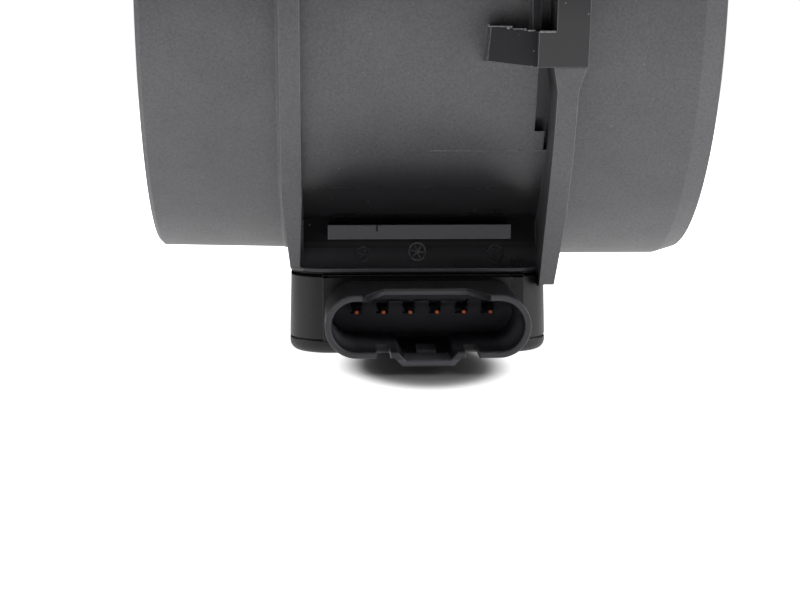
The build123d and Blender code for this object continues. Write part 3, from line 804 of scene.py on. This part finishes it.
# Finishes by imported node, or by the family of a row of numbered nodes.
NODE_FINISHES: dict[str, Finish] = {
    "tube_housing": DUCT_FINISH,
    "flow_grille": GRILLE_FINISH,
    "module_housing": MODULE_FINISH,
    "module_cover": COVER_FINISH,
    "bypass_body": PROBE_FINISH,
    "bypass_cover": PROBE_FINISH,
    "cover_gasket": PlainSurface("seal_rubber_black", (0.02, 0.02, 0.02, 1.0), 0.7),
    "probe_seal": PlainSurface("probe_seal_rubber", (0.02, 0.02, 0.02, 1.0), 0.7),
    "snap_ring": PlainSurface("ring_spring_steel", (0.56, 0.56, 0.55, 1.0), 0.28, 0.12, metallic=1.0),
    "module_screws": PlainSurface("screw_zinc", (0.55, 0.54, 0.5, 1.0), 0.34, 0.15, metallic=1.0),
    "sensor_carrier": PlainSurface("carrier_white", (0.72, 0.71, 0.66, 1.0), 0.5, 0.08),
    "sensor_chip": PlainSurface("chip_film", (0.1, 0.12, 0.2, 1.0), 0.12, 0.3),
    "air_thermistor": PlainSurface("bead_glaze", (0.18, 0.07, 0.025, 1.0), 0.2, 0.3),
    "base_plate": PlainSurface("plate_rolled", (0.75, 0.76, 0.77, 1.0), 0.36, 0.1, metallic=1.0),
    "circuit_board": PlainSurface("board_white", (0.66, 0.67, 0.62, 1.0), 0.45, 0.1),
    "signal_processor": PlainSurface("processor_resin", (0.03, 0.03, 0.03, 1.0), 0.4),
    "power_transistor": PlainSurface("transistor_resin", (0.03, 0.03, 0.03, 1.0), 0.4),
    "capacitor": PlainSurface("capacitor_tan", (0.45, 0.33, 0.2, 1.0), 0.4, 0.15),
    "terminal": TinnedBlade(),
    "bond_ribbon": PlainSurface("ribbon_bright", (0.8, 0.8, 0.8, 1.0), 0.3, 0.1, metallic=1.0),
}


@dataclass
class Wardrobe:
    """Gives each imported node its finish, building each material once.

    Attributes:
        built: Finished materials by finish name.
    """

    built: dict[str, bpy.types.Material] = field(default_factory=dict)

    def material(self, finish: Finish) -> bpy.types.Material:
        """Returns the material of a finish.

        Args:
            finish: The finish to build or reuse.

        Returns:
            Its material.
        """
        if finish.name not in self.built:
            self.built[finish.name] = finish.build()
        return self.built[finish.name]

    def finish_of(self, node: str) -> Finish:
        """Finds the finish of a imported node.

        Args:
            node: The node's name, with or without a number at its end.

        Returns:
            The finish.
        """
        return NODE_FINISHES[node.rstrip("0123456789").rstrip("_")]

    def dress(self, nodes: dict[str, bpy.types.Object]) -> None:
        """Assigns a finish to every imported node.

        Args:
            nodes: Packed objects by node name.
        """
        for name, piece in nodes.items():
            material = self.material(self.finish_of(name))
            for place in piece.material_slots:
                place.material = material
            log.info("%s wears %s", name, material.name)


# -------------------------------------------------------------------- pieces
WELD = 0.001 * MM
UPRIGHT = Vector((0, 0, 1))
INWARD = Vector((0, 1, 0))


class Skin:
    """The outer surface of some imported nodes, for laying thin detail on it."""

    def __init__(self, nodes: Sequence[str]) -> None:
        """Builds a search tree over the nodes' faces.

        Args:
            nodes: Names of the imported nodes.
        """
        shape = bmesh.new()
        for name in nodes:
            shape.from_mesh(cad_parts[name].data)
        self.tree = BVHTree.FromBMesh(shape)
        shape.free()

    def drop(self, start: Vector, heading: Vector) -> tuple[Vector, Vector]:
        """Follows a line to the surface.

        Args:
            start: Point that the line starts from.
            heading: Unit direction of the line.

        Returns:
            The point met and the surface's outward normal there.

        Raises:
            ValueError: If the line meets nothing.
        """
        place, normal, _, _ = self.tree.ray_cast(start, heading)
        if place is None:
            raise ValueError(f"no surface on the line from {tuple(start)}")
        return place, normal if normal.dot(heading) < 0 else -normal

    def wrap(self, shape: bmesh.types.BMesh, place: Vector, heading: Vector, upright: Vector) -> None:
        """Bends a flat shape, drawn in XY with its height in Z, onto the surface.

        Args:
            shape: The shape to bend.
            place: Point over which the shape's origin lies, well clear of the surface.
            heading: Unit direction from place to the surface.
            upright: Unit direction of the shape's Y.
        """
        across = upright.cross(-heading).normalized()
        for vert in shape.verts:
            start = place + across * vert.co.x + upright * vert.co.y
            met, normal = self.drop(start, heading)
            vert.co = met + normal * vert.co.z


def finish_piece(
    name: str, shape: bmesh.types.BMesh, material: bpy.types.Material
) -> bpy.types.Object:
    """Turns a bmesh into a piece that rides on the sensor.

    Args:
        name: The piece's name.
        shape: Its mesh, which is freed.
        material: Its material.

    Returns:
        The new object.
    """
    bmesh.ops.remove_doubles(shape, verts=shape.verts, dist=WELD)
    bmesh.ops.recalc_face_normals(shape, faces=shape.faces)
    for face in shape.faces:
        face.smooth = True
    mesh = bpy.data.meshes.new(name)
    shape.to_mesh(mesh)
    shape.free()
    mesh.materials.append(material)
    piece = bpy.data.objects.new(name, mesh)
    bpy.context.scene.collection.objects.link(piece)
    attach(piece, "root")
    log.info("%s has %d faces", name, len(mesh.polygons))
    return piece


def add_ring(
    shape: bmesh.types.BMesh, radius: float, wire: float, steps: int = 28, sides: int = 8
) -> None:
    """Adds a thin ring that lies in XY.

    Args:
        shape: The bmesh to add to.
        radius: Radius of the ring's centre line.
        wire: Radius of its section.
        steps: Steps around the ring.
        sides: Sides of its section.
    """
    section = bmesh.ops.create_circle(shape, cap_ends=False, radius=wire, segments=sides)["verts"]
    turn = Matrix.Rotation(math.pi / 2, 4, "X")
    bmesh.ops.transform(shape, matrix=Matrix.Translation((radius, 0, 0)) @ turn, verts=section)
    edges = list(dict.fromkeys(edge for vert in section for edge in vert.link_edges))
    bmesh.ops.spin(
        shape,
        geom=section + edges,
        cent=(0, 0, 0),
        axis=(0, 0, 1),
        angle=math.tau,
        steps=steps,
        use_merge=True,
    )


def add_bar(
    shape: bmesh.types.BMesh,
    length: float,
    width: float,
    height: float,
    turn: float = 0.0,
    place: Place = (0.0, 0.0, 0.0),
    cuts: int = 6,
    rounding: float = 0.3,
) -> None:
    """Adds a bar with rounded edges that lies along X in the XY plane.

    Args:
        shape: The bmesh to add to.
        length: Length along X.
        width: Width along Y.
        height: Height above and below the plane.
        turn: Turn about Z in radians.
        place: Where the bar's middle goes.
        cuts: Cuts across its length, so that it can bend.
        rounding: Size of the rounded edges as a share of its thinner side.
    """
    bar = bmesh.new()
    bmesh.ops.create_cube(bar, size=1.0)
    bmesh.ops.scale(bar, vec=(length, width, 2 * height), verts=bar.verts)
    bmesh.ops.bevel(
        bar,
        geom=list(bar.edges),
        offset=rounding * min(width, 2 * height),
        offset_type="OFFSET",
        segments=2,
        profile=0.5,
        affect="EDGES",
        material=-1,
    )
    for step in range(1, cuts + 1):
        at = length * (step / (cuts + 1) - 0.5)
        geom = list(bar.verts) + list(bar.edges) + list(bar.faces)
        bmesh.ops.bisect_plane(bar, geom=geom, plane_co=(at, 0, 0), plane_no=(1, 0, 0), dist=0.1 * WELD)
    move = Matrix.Translation(place) @ Matrix.Rotation(turn, 4, "Z")
    bmesh.ops.transform(bar, matrix=move, verts=bar.verts)
    mesh = bpy.data.meshes.new("bar_stock")
    bar.to_mesh(mesh)
    bar.free()
    shape.from_mesh(mesh)
    bpy.data.meshes.remove(mesh)


@dataclass(frozen=True)
class MouldMark:
    """One round tool mark: a ring with cross bars.  Sizes are millimetres.

    Attributes:
        along: X of its middle.
        up: Z of its middle.
        radius: Radius of the ring.
        bars: Number of bars across the ring.
        finish: Its finish.
    """

    along: float
    up: float
    radius: float
    bars: int
    finish: PlainSurface


@dataclass
class MouldMarks:
    """The round tool marks on the front of the pedestal above the connector.

    Attributes:
        marks: The marks from the outlet to the inlet.
        wire: Half height of the rings' section in millimetres.
        bar_reach: Length of a bar as a share of the ring's radius.
        bar_width: Width of a bar as a share of the wire.
        first_turn: Turn of the first bar in degrees.
        bar_turn: Turn from one bar to the next in degrees.
        clear: Y in millimetres, in front of the sensor, from which the marks are laid on.
    """

    marks: tuple[MouldMark, ...] = (
        MouldMark(-8.8, 13.9, 0.95, 2, FAINT_MARK_FINISH),
        MouldMark(-0.9, 14.2, 1.2, 3, MARK_FINISH),
        MouldMark(10.3, 13.9, 1.15, 1, FAINT_MARK_FINISH),
    )
    wire: float = 0.13
    bar_reach: float = 1.6
    bar_width: float = 1.8
    first_turn: float = 50.0
    bar_turn: float = -60.0
    clear: float = -60.0

    def build(self, skin: Skin, wardrobe: Wardrobe) -> list[bpy.types.Object]:
        """Builds the marks.

        Args:
            skin: The surface that they lie on.
            wardrobe: Gives their finishes.

        Returns:
            One piece per mark.
        """
        return [
            self.build_mark(f"mould_mark_{number}", mark, skin, wardrobe.material(mark.finish))
            for number, mark in enumerate(self.marks, 1)
        ]

    def build_mark(
        self, name: str, mark: MouldMark, skin: Skin, material: bpy.types.Material
    ) -> bpy.types.Object:
        """Builds one mark.

        Args:
            name: The piece's name.
            mark: Its place and sizes.
            skin: The surface that it lies on.
            material: Its material.

        Returns:
            The finished piece.
        """
        shape = bmesh.new()
        wire, radius = self.wire * MM, mark.radius * MM
        add_ring(shape, radius, wire)
        for bar in range(mark.bars):
            turn = math.radians(self.first_turn + self.bar_turn * bar)
            add_bar(shape, self.bar_reach * radius, self.bar_width * wire, wire, turn=turn)
        start = Vector((mark.along * MM, self.clear * MM, mark.up * MM))
        skin.wrap(shape, start, INWARD, UPRIGHT)
        return finish_piece(name, shape, material)


@dataclass(frozen=True)
class FlashBit:
    """One ragged bit of flash along the top of a clip arm.  Sizes are millimetres.

    Attributes:
        start: Distance from the arm's tip.
        length: Its length.
        lift: Its height above the arm's top edge.
        width: Its width.
        overhang: How far it stands out past the arm's front face.
    """

    start: float
    length: float
    lift: float
    width: float
    overhang: float = 0.0


@dataclass
class DuctTrim:
    """Parting line, trimmed flash and tool witness lines on the duct.

    Sizes are millimetres.

    Attributes:
        line_height: Z of the parting line on the barrel.
        line_start: X of its outlet end.
        line_end: X of its inlet end.
        bead: Half width of the parting bead.
        bead_rise: Height of the bead as a share of its half width.
        witness_count: Number of witness lines on the pedestal's foot.
        witness_pitch: Distance between them.
        witness_size: Length, width and height of one.
        witness_place: X and Z of the row's middle.
        clear: Y, in front of the sensor, from which the lines are laid on.
        arm_tip: X of the clip arms' free end.
        arm_front: Distance of their front faces from the middle.
        arm_top: Z of the lower arm's top edge at the tip.
        arm_rise: Rise of that edge per length.
        flash_height: Height of a bit of flash as a share of its width.
        flash_bits: The bits of flash on one arm.
    """

    line_height: float = 29.3
    line_start: float = 0.2
    line_end: float = 16.2
    bead: float = 0.07
    bead_rise: float = 0.6
    witness_count: int = 7
    witness_pitch: float = 0.38
    witness_size: tuple[float, float, float] = (0.9, 0.14, 0.08)
    witness_place: tuple[float, float] = (13.6, 12.7)
    clear: float = -80.0
    arm_tip: float = 6.9
    arm_front: float = 48.2
    arm_top: float = 46.1
    arm_rise: float = -0.12
    flash_height: float = 0.55
    flash_bits: tuple[FlashBit, ...] = (
        FlashBit(0.1, 1.9, 0.02, 0.13),
        FlashBit(0.0, 0.3, 0.02, 0.26),
        FlashBit(1.6, 1.3, 0.14, 0.12, 0.02),
        FlashBit(2.5, 0.35, 0.02, 0.34),
        FlashBit(2.9, 0.3, 0.22, 0.20),
        FlashBit(3.3, 1.3, 0.04, 0.12),
        FlashBit(4.7, 0.35, 0.10, 0.26),
        FlashBit(5.2, 0.8, 0.02, 0.18),
        FlashBit(5.8, 0.4, 0.12, 0.14),
        FlashBit(6.6, 2.1, 0.10, 0.24, 1.5),
    )

    def build(self, skin: Skin, wardrobe: Wardrobe) -> list[bpy.types.Object]:
        """Builds the trim.

        Args:
            skin: The duct's surface.
            wardrobe: Gives the finishes.

        Returns:
            The finished pieces.
        """
        return [
            self.parting_line(skin, wardrobe.material(MARK_FINISH)),
            self.witness_lines(skin, wardrobe.material(FAINT_MARK_FINISH)),
            self.clip_flash(wardrobe.material(FLASH_FINISH)),
        ]

    def parting_line(self, skin: Skin, material: bpy.types.Material) -> bpy.types.Object:
        """Builds the fine raised line along the barrel.

        Args:
            skin: The duct's surface.
            material: Polished plastic, pale as a painted highlight.

        Returns:
            The finished piece.
        """
        shape = bmesh.new()
        length = (self.line_end - self.line_start) * MM
        bead = self.bead * MM
        add_bar(shape, length, 2 * bead, self.bead_rise * bead, cuts=12)
        middle = (self.line_start + self.line_end) / 2 * MM
        start = Vector((middle, self.clear * MM, self.line_height * MM))
        skin.wrap(shape, start, INWARD, UPRIGHT)
        return finish_piece("parting_line", shape, material)

    def witness_lines(self, skin: Skin, material: bpy.types.Material) -> bpy.types.Object:
        """Builds the row of fine witness lines at the inlet end of the foot.

        Args:
            skin: The duct's surface.
            material: Polished plastic, faintly pale as a painted highlight.

        Returns:
            The finished piece.
        """
        shape = bmesh.new()
        length, width, height = (size * MM for size in self.witness_size)
        for number in range(self.witness_count):
            along = (number - (self.witness_count - 1) / 2) * self.witness_pitch * MM
            add_bar(shape, length, width, height, turn=math.pi / 2, place=(along, 0.0, 0.0), cuts=3)
        start = Vector((self.witness_place[0] * MM, self.clear * MM, self.witness_place[1] * MM))
        skin.wrap(shape, start, INWARD, UPRIGHT)
        return finish_piece("foot_witness_lines", shape, material)

    def clip_flash(self, material: bpy.types.Material) -> bpy.types.Object:
        """Builds the ragged flash that was left along the top of each clip arm.

        Args:
            material: Scuffed plastic, pale also as a painted highlight.

        Returns:
            The finished piece.
        """
        shape = bmesh.new()
        for side in (-1, 1):
            for bit in self.flash_bits:
                reach = bit.start + bit.length / 2
                place = (
                    (self.arm_tip + reach) * MM,
                    side * (self.arm_front + bit.overhang) * MM,
                    (self.arm_top + self.arm_rise * reach + bit.lift) * MM,
                )
                height = self.flash_height * bit.width * MM
                add_bar(shape, bit.length * MM, bit.width * MM, height, place=place, cuts=2)
        return finish_piece("clip_flash", shape, material)


# -------------------------------------------------------------------- studio
@dataclass(frozen=True)
class Lamp:
    """A soft rectangular lamp.

    Attributes:
        name: Its name.
        place: Where it stands.
        target: Point that it faces.
        width: Its width.
        height: Its height.
        power: Its power in watts.
    """

    name: str
    place: Place
    target: Place
    width: float
    height: float
    power: float

    def build(self) -> bpy.types.Object:
        """Builds the lamp.

        Returns:
            The lamp's object.
        """
        data = bpy.data.lights.new(self.name, "AREA")
        data.shape = "RECTANGLE"
        data.size = self.width
        data.size_y = self.height
        data.energy = self.power
        lamp = bpy.data.objects.new(self.name, data)
        lamp.location = self.place
        aim = Vector(self.target) - Vector(self.place)
        lamp.rotation_euler = aim.to_track_quat("-Z", "Y").to_euler()
        bpy.context.scene.collection.objects.link(lamp)
        return lamp


WHITE: Colour = (1.0, 1.0, 1.0, 1.0)


@dataclass
class Studio:
    """White table, soft lamps and the camera.

    The white is what the camera sees of the table and the backdrop, and adds no light to the sensor.  Under
    the connector the table shows its soft shadow, deepened by a painted shadow in its paint and in its
    reflection.

    Attributes:
        eye: Place of the camera.
        gaze: Its viewing direction.
        lens: Focal length in millimetres.
        sensor: Width of the camera's sensor in millimetres.
        clip: Nearest and farthest distance that the camera sees.
        lamps: The lamps.
        sky: Strength of the even light from all round.
        table: Half width of the table.
        table_tones: Darkest and palest grey of the bare table.
        painted_shadow_tone: Grey paint of the table in the shadow's patch, a painted shadow.
        shadow_reach: Half sizes of the patch of table that shows the full shadow.
        shadow_middle: Middle of that patch.
        bright_reach: Distances over which the table's reflection fades.
        far_mirror: What is left of the reflection beyond them.
        patch_mirror: What is left of the reflection on the patch, a painted shadow in reflections.
    """

    eye: Place = (-0.01410, -0.29107, 0.04224)
    gaze: Place = (0.0395, 0.9907, -0.1296)
    lens: float = 84.13
    sensor: float = 36.0
    clip: tuple[float, float] = (0.01, 20.0)
    lamps: tuple[Lamp, ...] = (
        Lamp("top_box", (0.0, 0.5, 1.1), (0.0, 0.0, 0.0), 2.0, 1.1, 34.0),
        Lamp("left_box", (-0.7, -0.1, 0.3), (-0.03, -0.03, 0.02), 0.6, 0.5, 1.8),
        Lamp("right_box", (0.7, -0.2, 0.3), (0.03, -0.03, 0.02), 0.6, 0.5, 3.6),
    )
    sky: float = 0.03
    table: float = 3.0
    table_tones: tuple[float, float] = (0.8, 0.84)
    painted_shadow_tone: float = 0.3
    shadow_reach: tuple[float, float] = (0.0088, 0.0165)
    shadow_middle: Place = (-0.0005, -0.037, 0.0)
    bright_reach: tuple[float, float] = (0.16, 0.42)
    far_mirror: float = 0.12
    patch_mirror: float = 0.1

    def build(self) -> None:
        """Builds the whole studio."""
        bpy.context.scene.view_settings.view_transform = "Standard"
        self.camera()
        for lamp in self.lamps:
            lamp.build()
        self.world()
        self.floor()

    def camera(self) -> None:
        """Places the camera and makes it the scene's camera."""
        data = bpy.data.cameras.new("view_camera")
        data.lens = self.lens
        data.sensor_width = self.sensor
        data.sensor_fit = "HORIZONTAL"
        data.clip_start, data.clip_end = self.clip
        camera = bpy.data.objects.new("view_camera", data)
        camera.location = self.eye
        camera.rotation_euler = Vector(self.gaze).to_track_quat("-Z", "Y").to_euler()
        bpy.context.scene.collection.objects.link(camera)
        bpy.context.scene.camera = camera

    def world(self) -> None:
        """Lights the scene evenly and shows plain white behind it."""
        world = bpy.data.worlds.new("studio_world")
        bpy.context.scene.world = world
        world.use_nodes = True
        graph = Graph(world.node_tree)
        light = graph.add("ShaderNodeBackground", {"Color": WHITE, "Strength": self.sky})
        white = graph.add("ShaderNodeBackground", {"Color": WHITE, "Strength": 1.0})
        shares = {0: self.seen_directly(graph), 1: light.outputs[0], 2: white.outputs[0]}
        mixed = graph.add("ShaderNodeMixShader", shares)
        graph.add("ShaderNodeOutputWorld", {0: mixed.outputs[0]})

    def seen_directly(self, graph: Graph) -> Socket:
        """Tells what the camera sees, straight or through glass.

        Args:
            graph: The material or world graph to add the test to.

        Returns:
            A socket that is 1 for camera and transmission rays.
        """
        path = graph.add("ShaderNodeLightPath")
        return graph.math("MAXIMUM", path.outputs["Is Camera Ray"], path.outputs["Is Transmission Ray"])

    def clear_of_shadow(self, graph: Graph, place: Socket) -> Socket:
        """Measures how far a point of the table lies outside the shadow's patch.

        Args:
            graph: The table's graph.
            place: The point's position.

        Returns:
            A socket that is 1 on the patch's rim and grows outwards.
        """
        offset = {0: place, 1: self.shadow_middle}
        from_middle = graph.add("ShaderNodeVectorMath", offset, operation="SUBTRACT")
        scale = (1 / self.shadow_reach[0], 1 / self.shadow_reach[1], 0.0)
        shares = {0: from_middle.outputs[0], 1: scale}
        scaled = graph.add("ShaderNodeVectorMath", shares, operation="MULTIPLY")
        length = graph.add("ShaderNodeVectorMath", {0: scaled.outputs[0]}, operation="LENGTH")
        return length.outputs["Value"]

    def floor(self) -> None:
        """Builds the white table that takes the soft shadow, with a painted shadow under the connector."""
        shape = bmesh.new()
        bmesh.ops.create_grid(shape, x_segments=2, y_segments=2, size=self.table)
        mesh = bpy.data.meshes.new("table_top")
        shape.to_mesh(mesh)
        shape.free()
        mesh.materials.append(self.table_material())
        table = bpy.data.objects.new("table_top", mesh)
        bpy.context.scene.collection.objects.link(table)

    def table_material(self) -> bpy.types.Material:
        """Builds the table's material.

        Returns:
            White for the camera beyond the patch, a fading white in reflections that dims on the patch as a
            painted shadow, and pale paint, darker on the patch as a painted shadow, for all other light.
        """
        material = bpy.data.materials.new("table_white")
        material.use_nodes = True
        graph = Graph(material.node_tree)
        place = graph.add("ShaderNodeTexCoord").outputs["Object"]
        fleck = graph.add("ShaderNodeTexNoise", {"Vector": place, "Scale": 40.0, "Detail": 2.0})
        dark, pale = (shaded(WHITE, tone) for tone in self.table_tones)
        away = self.clear_of_shadow(graph, place)
        bare = graph.mix_colour(fleck.outputs[0], dark, pale)
        # Painted shadow: the paint darkens towards the patch under the connector.
        tone = graph.mix_colour(graph.ramp(away, 0.7, 1.25), shaded(WHITE, self.painted_shadow_tone), bare)
        plain = graph.add("ShaderNodeBsdfDiffuse", {"Color": tone})
        distance = graph.add("ShaderNodeVectorMath", {0: place}, operation="LENGTH").outputs["Value"]
        near = graph.ramp(distance, *self.bright_reach, 1.0, self.far_mirror)
        # Painted shadow in reflections: the mirrored white dims on the patch.
        strength = graph.math("MULTIPLY", graph.ramp(away, 0.6, 1.3, self.patch_mirror, 1.0), near)
        mirrored = graph.add("ShaderNodeEmission", {"Strength": strength})
        glow = graph.add("ShaderNodeEmission", {"Strength": graph.ramp(away, 0.9, 1.5)})
        lit = graph.add("ShaderNodeAddShader", {0: plain.outputs[0], 1: glow.outputs[0]})
        glossy = graph.add("ShaderNodeLightPath").outputs["Is Glossy Ray"]
        shares = {0: glossy, 1: plain.outputs[0], 2: mirrored.outputs[0]}
        bounced = graph.add("ShaderNodeMixShader", shares)
        shares = {0: self.seen_directly(graph), 1: bounced.outputs[0], 2: lit.outputs[0]}
        mixed = graph.add("ShaderNodeMixShader", shares)
        graph.add("ShaderNodeOutputMaterial", {0: mixed.outputs[0]})
        return material


def main() -> None:
    """Dresses the sensor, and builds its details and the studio."""
    logging.basicConfig(level=logging.INFO, format="%(name)s: %(message)s")
    wardrobe = Wardrobe()
    wardrobe.dress(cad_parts)
    skin = Skin(["tube_housing"])
    MouldMarks().build(skin, wardrobe)
    DuctTrim().build(skin, wardrobe)
    Studio().build()
    bpy.context.view_layer.update()


if __name__ == "__main__":
    main()
